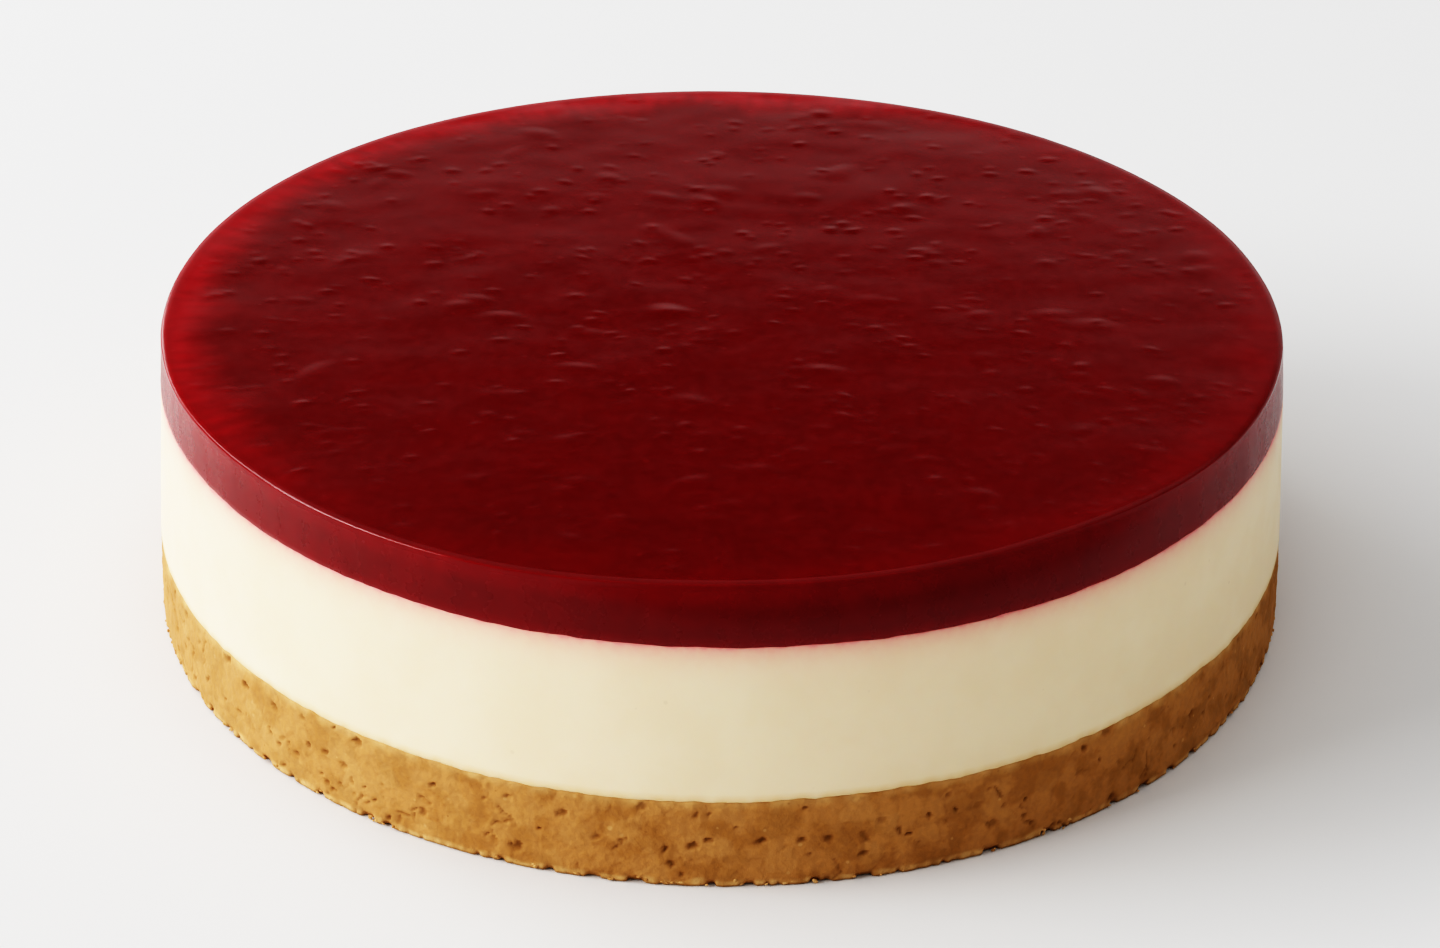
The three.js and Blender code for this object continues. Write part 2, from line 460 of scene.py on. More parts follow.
@dataclass(frozen=True)
class Skin:
    """A turned mesh and the places of its points before they are moved, one value a point.

    Attributes:
        mesh: The mesh.
        x: Places along X.
        y: Places along Y.
        z: Heights.
        radius: Distances from the axis.
        angle: Angles round the cake.
        turn: The same angles in turns.
    """

    mesh: Mesh
    x: Array
    y: Array
    z: Array
    radius: Array
    angle: Array
    turn: Array

    @classmethod
    def turned(cls, name: str, zones: Sequence[Zone]) -> "Skin":
        """Turns a profile into a smooth shaded mesh.

        Args:
            name: Name of the mesh.
            zones: Zones of the profile.

        Returns:
            The mesh with its points.
        """
        mesh = make_mesh(name, Lathe(zones).body)
        mesh.shade_smooth()
        x, y, z = read_points(mesh).T
        angle = np.arctan2(x, -y)
        return cls(mesh, x, y, z, np.hypot(x, y), angle, angle / FULL_TURN)

    def move(self, form: CakeForm, out: Array, up: Array) -> None:
        """Moves the points and puts them onto the cake's outline.

        Args:
            form: Sizes of the cake.
            out: How far each point moves away from the axis.
            up: How far it moves up.
        """
        share = (self.radius + out) / np.maximum(self.radius, TINY) * form.outline(self.angle)
        x, y = self.x * share + form.axis[0], self.y * share + form.axis[1]
        write_points(self.mesh, np.stack((x, y, self.z + up), axis=1))


def add_piece(name: str, mesh: Mesh) -> Object:
    """Adds a piece to the scene, riding on the cake.

    Args:
        name: Name of the piece.
        mesh: Its mesh, already in place.

    Returns:
        The piece.
    """
    piece = add_object(name, mesh)
    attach(piece, BODY)
    return piece


@dataclass
class CakePart:
    """What every sub-assembly of the cake shares.

    Attributes:
        form: Sizes of the cake.
    """

    form: CakeForm

    def dress(self, piece: Object, material: Material) -> None:
        """Gives the piece its material."""
        piece.data.materials.append(material)


class Wiring:
    """Adds nodes to one node tree and joins them."""

    def __init__(self, tree: NodeTree) -> None:
        """Keeps the tree to work in."""
        self.tree = tree

    def feed(self, node: Node, inputs: dict) -> None:
        """Sets a node's inputs.

        Args:
            node: The node.
            inputs: Value or output socket for each input, by name or number.
        """
        for key, value in inputs.items():
            if isinstance(value, NodeSocket):
                self.tree.links.new(value, node.inputs[key])
            else:
                node.inputs[key].default_value = value

    def node(self, kind: str, inputs: dict | None = None, **settings: object) -> Node:
        """Adds one node.

        Args:
            kind: Blender's name for the kind of node.
            inputs: Value or output socket for each input, by name or number.
            settings: Values of the node's own properties.

        Returns:
            The node.
        """
        made = self.tree.nodes.new(kind)
        for name, value in settings.items():
            setattr(made, name, value)
        self.feed(made, inputs or {})
        return made

    def math(self, operation: str, first: object, second: object = 0.0) -> NodeSocket:
        """Result of a math node."""
        return self.node("ShaderNodeMath", {0: first, 1: second}, operation=operation).outputs[0]

    def times(self, first: object, second: object) -> NodeSocket:
        """Product of two values."""
        return self.math("MULTIPLY", first, second)

    def plus(self, first: object, second: object) -> NodeSocket:
        """Sum of two values."""
        return self.math("ADD", first, second)

    def span(self, value: object, source: tuple, target: tuple, smooth: bool = True) -> NodeSocket:
        """Moves a value from one range to another and keeps it inside.

        Args:
            value: Value to move.
            source: Low and high end of the range that it comes from.
            target: What the two ends become.
            smooth: Whether it eases at both ends.

        Returns:
            The moved value.
        """
        inputs = {0: value, 1: source[0], 2: source[1], 3: target[0], 4: target[1]}
        kind = "SMOOTHSTEP" if smooth else "LINEAR"
        return self.node("ShaderNodeMapRange", inputs, interpolation_type=kind).outputs[0]

    def level(self, share: NodeSocket, target: Pair) -> NodeSocket:
        """Moves a share evenly from 0 to 1 to another range."""
        return self.span(share, (0.0, 1.0), target, smooth=False)

    def mix(self, share: object, one: object, other: object, kind: str = "MIX") -> NodeSocket:
        """Colour between two others, of which the share says how much is the other."""
        inputs = {0: share, 6: one, 7: other}
        return self.node("ShaderNodeMix", inputs, data_type="RGBA", blend_type=kind).outputs[2]

    def vary(self, colour: NodeSocket, share: NodeSocket, most: float) -> NodeSocket:
        """Makes a colour darker where a share is 0 and lighter where it is 1, by the same most."""
        return self.mix(1.0, colour, self.level(share, (1.0 - most, 1.0 + most)), "MULTIPLY")

    def noise(self, place: NodeSocket, scale: NodeSocket, detail: float, rough: float = 0.5) -> NodeSocket:
        """Cloudy noise at a place, from 0 to 1."""
        inputs = {"Vector": place, "Scale": scale, "Detail": detail, "Roughness": rough}
        return self.node("ShaderNodeTexNoise", inputs).outputs[0]

    def mask(self, name: str) -> NodeSocket:
        """A mask that the mesh holds."""
        return self.node("ShaderNodeAttribute", attribute_name=name).outputs["Fac"]


class Effects:
    """Surface effects that several finishes share, each a node group made once."""

    def __init__(self) -> None:
        """Makes the groups."""
        self.mottle = self.make_mottle()
        self.speckle = self.make_speckle()
        self.grain = self.make_grain()

    @staticmethod
    def start(name: str, inputs: dict[str, float], output: str) -> tuple[Wiring, NodeOutputs]:
        """Starts a group that reads a place and some numbers.

        Args:
            name: Name of the group.
            inputs: Name and usual value of each number.
            output: Name of the value that it puts out.

        Returns:
            The group's wiring and what it reads, by name.
        """
        tree = bpy.data.node_groups.new(name, "ShaderNodeTree")
        tree.interface.new_socket(name="Place", in_out="INPUT", socket_type="NodeSocketVector")
        for label, usual in inputs.items():
            socket = tree.interface.new_socket(name=label, in_out="INPUT", socket_type="NodeSocketFloat")
            socket.default_value = usual
        tree.interface.new_socket(name=output, in_out="OUTPUT", socket_type="NodeSocketFloat")
        wiring = Wiring(tree)
        return wiring, wiring.node("NodeGroupInput").outputs

    def make_mottle(self) -> NodeTree:
        """Makes soft cloudy patches, from 0 to 1.

        Returns:
            The group.
        """
        wiring, given = self.start("soft_mottle", {"Scale": 100.0, "Low": 0.35, "High": 0.65}, "Share")
        clouds = wiring.noise(given["Place"], given["Scale"], detail=3.0, rough=0.55)
        share = wiring.span(clouds, (given["Low"], given["High"]), (0.0, 1.0))
        wiring.node("NodeGroupOutput", {"Share": share})
        return wiring.tree

    def make_speckle(self) -> NodeTree:
        """Makes scattered small spots of uneven size, 1 in a spot and 0 between spots.

        Returns:
            The group.
        """
        wiring, given = self.start("scattered_speckle", {"Scale": 300.0, "Size": 0.2, "Amount": 0.3}, "Spot")
        spots = wiring.node("ShaderNodeTexVoronoi", {"Vector": given["Place"], "Scale": given["Scale"]})
        parts = wiring.node("ShaderNodeSeparateColor", {0: spots.outputs["Color"]})
        chosen = wiring.math("LESS_THAN", parts.outputs[0], given["Amount"])
        edge = wiring.times(given["Size"], wiring.level(parts.outputs[1], (0.45, 1.0)))
        core = wiring.times(edge, 0.4)
        inside = wiring.span(spots.outputs["Distance"], (core, edge), (1.0, 0.0))
        wiring.node("NodeGroupOutput", {"Spot": wiring.times(inside, chosen)})
        return wiring.tree

    def make_grain(self) -> NodeTree:
        """Makes a fine uneven height at two scales, from 0 to 1.

        Returns:
            The group.
        """
        wiring, given = self.start("fine_grain", {"Scale": 800.0, "Finer": 3.1, "Share": 0.4}, "Height")
        coarse = wiring.noise(given["Place"], given["Scale"], detail=2.0)
        fine = wiring.noise(given["Place"], wiring.times(given["Scale"], given["Finer"]), detail=2.0)
        height = wiring.node("ShaderNodeMix", {0: given["Share"], 2: coarse, 3: fine}, data_type="FLOAT")
        wiring.node("NodeGroupOutput", {"Height": height.outputs[0]})
        return wiring.tree


class Coat(Wiring):
    """A procedural material under way."""

    def __init__(self, name: str) -> None:
        """Starts the material.

        Args:
            name: Name of the material.
        """
        self.material = bpy.data.materials.new(name)
        self.material.use_nodes = True
        super().__init__(self.material.node_tree)
        self.surface = self.tree.nodes["Principled BSDF"]
        self.place = self.node("ShaderNodeTexCoord").outputs["Object"]

    def effect(self, group: NodeTree, **numbers: float) -> NodeSocket:
        """Puts a shared effect into the material, with a value for each of its numbers."""
        return self.node("ShaderNodeGroup", {"Place": self.place, **numbers}, node_tree=group).outputs[0]

    def paint(self, colour: NodeSocket, roughness: NodeSocket, index: float) -> None:
        """Sets the surface's colour, roughness and refractive index."""
        self.feed(self.surface, {"Base Color": colour, "Roughness": roughness, "IOR": index})

    def roughen(self, relief: NodeSocket, strength: float, depth: float = 0.05 * MM) -> None:
        """Gives the surface a fine relief, of a strength and a depth."""
        bump = self.node("ShaderNodeBump", {"Strength": strength, "Distance": depth, "Height": relief})
        self.feed(self.surface, {"Normal": bump.outputs[0]})

    def let_light_in(self, weight: float, depths: tuple[float, float, float]) -> None:
        """Lets a share of the light spread under the surface, to a depth for each colour."""
        spread = {"Subsurface Weight": weight, "Subsurface Radius": depths, "Subsurface Scale": 1.0}
        self.feed(self.surface, spread)


@dataclass(frozen=True)
class JellyFinish:
    """Clear dark red berry jelly: glossy and deep in the middle, with painted light at the rim and side.

    Attributes:
        deep: Colour where the jelly is thick.
        ember: Colour of the painted light that comes through from the side.
        speck: Colour of the bits of fruit in it.
        speck_share: How much of that colour shows.
        gloss: Roughness of its skin, smoothest and roughest.
        cut_dullness: How much rougher the cut side is.
        grain_rise: Share of the fine grain in the relief.
        speck_rise: Share of the bits of fruit in the relief.
        index: Refractive index of its gloss.
        glow_weight: Share of the light that spreads in it.
        glow_depth: How far that light spreads, by colour.
    """

    deep: Colour = (0.143, 0.0040, 0.0050, 1.0)
    ember: Colour = (0.305, 0.0062, 0.0120, 1.0)
    speck: Colour = (0.360, 0.0450, 0.0450, 1.0)
    speck_share: float = 0.09
    gloss: Pair = (0.13, 0.17)
    cut_dullness: float = 0.13
    grain_rise: float = 0.08
    speck_rise: float = 0.18
    index: float = 1.45
    glow_weight: float = 0.35
    glow_depth: tuple[float, float, float] = (3.2 * MM, 0.3 * MM, 0.3 * MM)

    def material(self, effects: Effects) -> Material:
        """Makes the material.

        Args:
            effects: The shared effects.

        Returns:
            The material.
        """
        coat = Coat("red_berry_jelly")
        clouds = coat.effect(effects.mottle, Scale=95.0)
        pulp = coat.effect(effects.mottle, Scale=420.0, Low=0.3, High=0.7)
        bits = coat.effect(effects.speckle, Scale=230.0, Size=0.19, Amount=0.36)
        grain = coat.effect(effects.grain, Scale=900.0)
        # Painted light: the glow mask lightens the deep red towards the ember colour at the rim and on the side
        plain = coat.mix(coat.mask("glow"), self.deep, self.ember)
        cloudy = coat.vary(plain, clouds, 0.04)
        pulpy = coat.vary(cloudy, pulp, 0.03)
        speckled = coat.mix(coat.times(bits, self.speck_share), pulpy, self.speck)
        dull = coat.times(coat.mask("cut"), self.cut_dullness)
        coat.paint(speckled, coat.plus(coat.level(pulp, self.gloss), dull), self.index)
        raised = coat.plus(coat.times(grain, self.grain_rise), coat.times(bits, self.speck_rise))
        coat.roughen(raised, 0.5)
        coat.let_light_in(self.glow_weight, self.glow_depth)
        return coat.material


@dataclass(frozen=True)
class CreamFinish:
    """Set cream cheese filling: smooth satin ivory, stained pink under the jelly, partly with painted light and
    shade.

    Attributes:
        jelly_foot: Height of the line under the jelly.
        cream: Colour of the cream.
        shade: Its slightly darker tone in soft patches.
        pink_stain_and_shade: Colour of the stain under the jelly, partly juice and partly painted red light and
            shade.
        soaked: Colour where it meets the biscuit.
        fleck: Colour of its few tiny flecks.
        fleck_share: How much of that colour shows.
        line_depth: How deep the stain's clear line is.
        line_share: How strong it is at its top.
        blush: How strong the stain's faint lower part is at its top.
        blush_fade: What is left of that part after each millimetre.
        unevenness: How far the stain rises and falls.
        satin: Roughness, smoothest and roughest.
        index: Refractive index of its sheen.
        glow_weight: Share of the light that spreads in it.
        glow_depth: How far that light spreads, by colour.
    """

    jelly_foot: float
    cream: Colour = (0.893, 0.744, 0.514, 1.0)
    shade: Colour = (0.870, 0.713, 0.484, 1.0)
    pink_stain_and_shade: Colour = (0.740, 0.085, 0.165, 1.0)
    soaked: Colour = (0.760, 0.540, 0.290, 1.0)
    fleck: Colour = (0.600, 0.460, 0.300, 1.0)
    fleck_share: float = 0.25
    line_depth: float = 1.1 * MM
    line_share: float = 0.68
    blush: float = 0.60
    blush_fade: float = 0.607
    unevenness: float = 0.18 * MM
    satin: Pair = (0.42, 0.50)
    index: float = 1.42
    glow_weight: float = 0.30
    glow_depth: tuple[float, float, float] = (1.6 * MM, 1.1 * MM, 0.7 * MM)

    def material(self, effects: Effects) -> Material:
        """Makes the material.

        Args:
            effects: The shared effects.

        Returns:
            The material.
        """
        coat = Coat("cream_cheese_filling")
        clouds = coat.effect(effects.mottle, Scale=70.0)
        teeth = coat.effect(effects.mottle, Scale=650.0, Low=0.3, High=0.7)
        flecks = coat.effect(effects.speckle, Scale=210.0, Size=0.11, Amount=0.30)
        grain = coat.effect(effects.grain, Scale=500.0)
        height = coat.node("ShaderNodeSeparateXYZ", {0: coat.place}).outputs["Z"]
        uneven = coat.level(teeth, (-self.unevenness, self.unevenness))
        under = coat.plus(coat.math("SUBTRACT", self.jelly_foot, height), uneven)
        # The stain under the jelly is partly a juice stain and partly painted red light and shade from the
        # jelly
        line = coat.span(under, (0.0, self.line_depth), (self.line_share, 0.0))
        fade = coat.math("POWER", self.blush_fade, coat.math("DIVIDE", under, MM))
        stain_and_shade = coat.math("MAXIMUM", line, coat.times(self.blush, fade))
        plain = coat.mix(clouds, self.cream, self.shade)
        flecked = coat.mix(coat.times(flecks, self.fleck_share), plain, self.fleck)
        soaked = coat.mix(coat.mask("soak"), flecked, self.soaked)
        coat.paint(coat.mix(stain_and_shade, soaked, self.pink_stain_and_shade), coat.level(clouds, self.satin), self.index)
        coat.roughen(grain, 0.35)
        coat.let_light_in(self.glow_weight, self.glow_depth)
        return coat.material


@dataclass(frozen=True)
class CrumbFinish:
    """Pressed biscuit crumb: dry, golden brown and blotchy, with painted shade in its pits, pale where soaked
    or flaky, and painted light on its left.

    Attributes:
        golden: Colour of most of the crumb.
        toasted: Colour of its darker patches.
        pale: Colour of its lighter crumbs and of the soaked edge, and of the painted light on the side that
            faces the left.
        shade_and_dark_speck: Colour of the dark specks, and of the painted shade deep in the pits and cracks.
        toasted_share: How much the darker patches show.
        bright_share: How much the light specks show.
        dark_share: How much the dark specks show.
        dryness: Roughness, smoothest and roughest.
        grains_rise: Share of the crumb's grains in the relief.
        index: Refractive index of its faint sheen.
    """

    golden: Colour = (0.455, 0.238, 0.093, 1.0)
    toasted: Colour = (0.356, 0.179, 0.061, 1.0)
    pale: Colour = (0.670, 0.430, 0.210, 1.0)
    shade_and_dark_speck: Colour = (0.235, 0.113, 0.033, 1.0)
    toasted_share: float = 0.85
    bright_share: float = 0.35
    dark_share: float = 0.45
    dryness: Pair = (0.72, 0.90)
    grains_rise: float = 0.6
    index: float = 1.35

    def material(self, effects: Effects) -> Material:
        """Makes the material.

        Args:
            effects: The shared effects.

        Returns:
            The material.
        """
        coat = Coat("pressed_biscuit_crumb")
        patches = coat.effect(effects.mottle, Scale=190.0, Low=0.42, High=0.62)
        grains = coat.effect(effects.mottle, Scale=900.0, Low=0.35, High=0.65)
        bright = coat.effect(effects.speckle, Scale=520.0, Size=0.34, Amount=0.10)
        dark = coat.effect(effects.speckle, Scale=610.0, Size=0.26, Amount=0.08)
        grain = coat.effect(effects.grain, Scale=1500.0, Share=0.5)
        patchy = coat.mix(coat.times(patches, self.toasted_share), self.golden, self.toasted)
        # The mask mixes in pale for lighter crumbs, soaked and flaky edges, and painted light on the side that
        # faces the left
        tinted = coat.mix(coat.mask("pale_tint_and_light"), patchy, self.pale)
        shaded = coat.vary(tinted, grains, 0.05)
        lit = coat.mix(coat.times(bright, self.bright_share), shaded, self.pale)
        dotted = coat.mix(coat.times(dark, self.dark_share), lit, self.shade_and_dark_speck)
        # Painted shade: the mask darkens pits, cracks, seams, foot gaps and the very foot towards the darkest
        # colour
        pitted = coat.mix(coat.mask("pit_shade"), dotted, self.shade_and_dark_speck)
        coat.paint(pitted, coat.level(grains, self.dryness), self.index)
        coat.roughen(coat.plus(grain, coat.times(grains, self.grains_rise)), 0.6, 0.11 * MM)
        return coat.material


@dataclass
class JellyTop(CakePart):
    """The red berry jelly layer, with the narrow slope of its brim and the low lumps of its top.

    Attributes:
        slope: Width of the slope inside the brim.
        slope_drop: How far it falls.
        edge_radius: Radius of the tight edge between slope and side.
        lean: How far in the side leans from its foot to the edge.
        foot_tuck: How far the foot reaches into the filling, so that no gap shows.
        row: Size of the rows of faces.
    """

    slope: float = 1.4 * MM
    slope_drop: float = 0.15 * MM
    edge_radius: float = 0.45 * MM
    lean: float = 0.60 * MM
    foot_tuck: float = 0.15 * MM
    row: float = 0.85 * MM

    RIM_COLUMNS = 1024
    EDGE_STEPS = 6
    SLOPE_STEPS = 3
    # Outer radius, columns and ring step of each zone of the top, from the rim to the middle
    TOP_ZONES = (
        (88.0 * MM, 800, 0.70 * MM),
        (60.0 * MM, 544, 0.70 * MM),
        (32.0 * MM, 272, 0.72 * MM),
        (16.0 * MM, 144, 0.75 * MM),
        (8.0 * MM, 80, 0.75 * MM),
    )
    # Where the brim is pressed in: direction and half width in degrees, and how far
    PRESSES = (
        (17.0, 44.0, 2.1 * MM), (-54.0, 40.0, -0.55 * MM),
        (116.0, 36.0, 0.6 * MM), (-112.0, 30.0, 0.4 * MM),
    )
    # Power by which the press grows up the side, and how far in from the brim it reaches
    PRESS_POWER = 2.2
    PRESS_REACH = 14.0 * MM

    # Size of the top's low waves along X and along Y, their rise and seed
    TOP_WAVES = ((15 * MM, 15 * MM, 0.055 * MM, 31), (7.5 * MM, 5.5 * MM, 0.016 * MM, 32))
    # Number of bumps, their half width and their steepness
    BUMPS = ((600, (0.75 * MM, 1.45 * MM), 0.046), (110, (2.0 * MM, 4.2 * MM), 0.018))
    # Waves in the side, and in the edge of the glowing band
    SIDE_WAVES = ((0.025 * MM, 230, 12, 34, 6.0 * MM), (0.035 * MM, 64, 12, 35, 12.0 * MM))
    BAND_WAVES = ((0.25, 42, 43), (0.15, 170, 44))

    # Directions in degrees that the painted light comes in from, strong and weak
    STRONG_LIGHT, WEAK_LIGHT = -130.0, 110.0
    # How much painted glow the band has all round, and how much more towards each light
    GLOW_ROUND, GLOW_STRONG, GLOW_WEAK = 0.11, 0.89, 0.09
    # Where the band ends and where it is full, in from the rim, and the most painted glow that it has
    BAND_WIDTH, BAND_FULL, BAND_MOST = 13.0 * MM, 1.0 * MM, 0.9
    # Painted glow of the side: everywhere, in the light, at its right, in streaks, at its foot and at its edge
    SIDE_ROUND, SIDE_LIT, SIDE_RIGHT, SIDE_STREAK, SIDE_FOOT, SIDE_EDGE = 0.07, 0.25, 0.14, 0.05, 0.24, 0.22

    def zones(self) -> list[Zone]:
        """Works out the profile.

        Returns:
            Zones from the middle of the underside to the middle of the top.
        """
        radius, height = self.form.rim_radius, self.form.height
        foot = self.form.filling_top - self.foot_tuck
        brim = radius - self.lean
        flat = brim - self.slope
        steepest = math.atan(2.0 * self.slope_drop / self.slope)
        slope_reach = self.slope - self.edge_radius * (1.0 - math.sin(steepest))
        edge_middle = height - self.slope_drop - self.edge_radius * math.cos(steepest)
        rim = [(radius - FINE_LIP, foot), (radius - 0.4 * MM, foot), (radius - 0.1 * MM, foot + 0.08 * MM)]
        side_foot = self.form.filling_top + 0.08 * MM
        side_rise = edge_middle - side_foot
        for z in even_steps(side_foot, edge_middle, self.row):
            rim.append((radius - self.lean * (z - side_foot) / side_rise, z))
        for step in range(1, self.EDGE_STEPS + 1):
            turn = (0.25 * FULL_TURN - steepest) * step / self.EDGE_STEPS
            inward, up = self.edge_radius * (1.0 - math.cos(turn)), self.edge_radius * math.sin(turn)
            rim.append((brim - inward, edge_middle + up))
        for step in range(self.SLOPE_STEPS - 1, 0, -1):
            share = step / self.SLOPE_STEPS
            rim.append((flat + slope_reach * share, height - self.slope_drop * share**2))
        rim += [(r, height) for r in even_steps(flat, self.TOP_ZONES[0][0] + self.row, self.row)]
        under = ((0.0, foot), (radius - COARSE_START, foot))
        zones = [Zone(under, COARSE_COLUMNS), Zone(tuple(rim), self.RIM_COLUMNS)]
        inner_ends = [zone[0] + zone[2] for zone in self.TOP_ZONES[1:]] + [0.0]
        for (outer, columns, step), inner in zip(self.TOP_ZONES, inner_ends):
            zones.append(Zone(tuple((r, height) for r in even_steps(outer, inner, step)), columns))
        return zones

    def top_relief(self, x: Array, y: Array) -> Array:
        """Height of the top's low waves and lumps.

        Args:
            x: Places along X.
            y: Places along Y.

        Returns:
            Heights above the flat top.
        """
        cells = 64
        relief = sum(
            rise * Waves(cells, cells, seed).read(x / along_x, y / along_y)
            for along_x, along_y, rise, seed in self.TOP_WAVES
        )
        draw = np.random.default_rng(33)
        for count, widths, steepness in self.BUMPS:
            for _ in range(count):
                away = self.form.rim_radius * math.sqrt(draw.uniform(0.0, 1.0))
                turn = draw.uniform(0.0, FULL_TURN)
                half_width = draw.uniform(*widths)
                stretch = draw.uniform(0.9, 1.8)
                tilt = draw.normal(0.0, 0.4)
                rise = draw.uniform(0.4, 1.0) * steepness * half_width
                off_x, off_y = x - away * math.sin(turn), y + away * math.cos(turn)
                near = np.flatnonzero(np.abs(off_x) + np.abs(off_y) < 3.0 * half_width * stretch)
                off_x, off_y = off_x[near], off_y[near]
                long_way = (off_x * math.cos(tilt) + off_y * math.sin(tilt)) / (half_width * stretch)
                short_way = (off_y * math.cos(tilt) - off_x * math.sin(tilt)) / half_width
                inside = np.clip(1.0 - long_way**2 - short_way**2, 0.0, 1.0)
                relief[near] += rise * inside**2 * 0.8 * np.exp(1.5 * np.clip(short_way, -1.0, 1.0))
        return relief

    def press(self, skin: Skin) -> Array:
        """How far the upper part of the side and the brim are pressed in.

        Args:
            skin: Points of the layer.

        Returns:
            Distances towards the axis, below 0 where the brim stands out.
        """
        foot = self.form.filling_top
        edge = self.form.height - self.slope_drop - self.edge_radius
        up = np.clip((skin.z - foot) / (edge - foot), 0.0, 1.0)
        brim = self.form.rim_radius - self.lean
        share = up**self.PRESS_POWER * ease(brim - self.PRESS_REACH, brim, skin.radius)
        pressed = np.zeros_like(skin.angle)
        for direction, half_width, far in self.PRESSES:
            away = np.abs((np.degrees(skin.angle) - direction + 180.0) % 360.0 - 180.0)
            pressed += far * ease(half_width, 0.3 * half_width, away)
        return share * pressed

    def glow(self, skin: Skin) -> Array:
        """Share of painted light that comes in from the side: a band round the rim, widest where the light
        stands.

        Args:
            skin: Points of the layer.

        Returns:
            Shares from 0 to about 1.
        """
        z, angle, turn = skin.z, skin.angle, skin.turn
        foot, top = self.form.filling_top, self.form.height - self.slope_drop
        edge = top - 0.5 * self.edge_radius
        from_rim = self.form.rim_radius - skin.radius
        lit = self.GLOW_ROUND
        lit += self.GLOW_STRONG * ease(-0.1, 0.75, facing(angle, self.STRONG_LIGHT))
        lit += self.GLOW_WEAK * ease(0.0, 0.8, facing(angle, self.WEAK_LIGHT))

        streak = 1.0 + 0.40 * Waves(300, 80, 41).wrap(turn, from_rim / (7.0 * MM))
        ragged_rim = from_rim * (1.0 + waves_round(turn, *self.BAND_WAVES))
        band = lit * ease(self.BAND_WIDTH, self.BAND_FULL, ragged_rim) * streak
        band = np.minimum(band, self.BAND_MOST) * (1.0 - 0.30 * ease(4.0 * MM, 0.8 * MM, from_rim))
        behind = ease(0.1, -0.5, facing(angle, FRONT))
        band += 0.12 * ease(2.5 * MM, 0.8 * MM, from_rim) * behind

        side = self.SIDE_ROUND + self.SIDE_LIT * lit
        side += self.SIDE_RIGHT * ease(-0.1, 0.6, facing(angle, RIGHT))
        side += self.SIDE_STREAK * Waves(200, 8, 42).wrap(turn, z / (9.0 * MM))
        side += self.SIDE_FOOT * ease(foot + 1.7 * MM, foot + 0.2 * MM, z)
        side += self.SIDE_EDGE * ease(edge - 4.2 * MM, edge - 1.6 * MM, z)
        on_side = ease(top, edge + 0.05 * MM, z)
        return band * (1.0 - on_side) + side * on_side

    def build(self) -> Object:
        """Makes the piece.

        Returns:
            The piece.
        """
        skin = Skin.turned("jelly_layer", self.zones())
        z, turn = skin.z, skin.turn
        height, foot = self.form.height, self.form.filling_top
        inward = self.form.rim_radius - self.lean - skin.radius
        calm = ease(self.slope, self.slope + 3.0 * MM, inward)
        on_top = z > height - 1e-6
        relief = np.where(on_top, calm * self.top_relief(skin.x, skin.y), 0.0)
        relief = np.minimum(relief, LUMP_RISE - 0.01 * MM)
        on_side = ease(self.slope, 0.2 * self.slope, inward)
        wobble = waves_over(turn, z, self.SIDE_WAVES) - 0.05 * MM
        near_foot = ease(foot + 2.0 * MM, foot, z)
        cut = ease(height - 0.9 * MM, height - 1.3 * MM, z)
        # Painted light: the glow mask, which the material turns into lighter red at the rim and on the side
        write_mask(skin.mesh, "glow", self.glow(skin))
        write_mask(skin.mesh, "cut", cut * (1.0 + waves_round(turn, (0.5, 100, 45))))
        line = self.form.jelly_line(turn) - foot
        skin.move(self.form, on_side * wobble - self.press(skin), relief + near_foot * line)
        piece = add_piece("jelly_layer", skin.mesh)
        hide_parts(Layer.JELLY.node)
        return piece


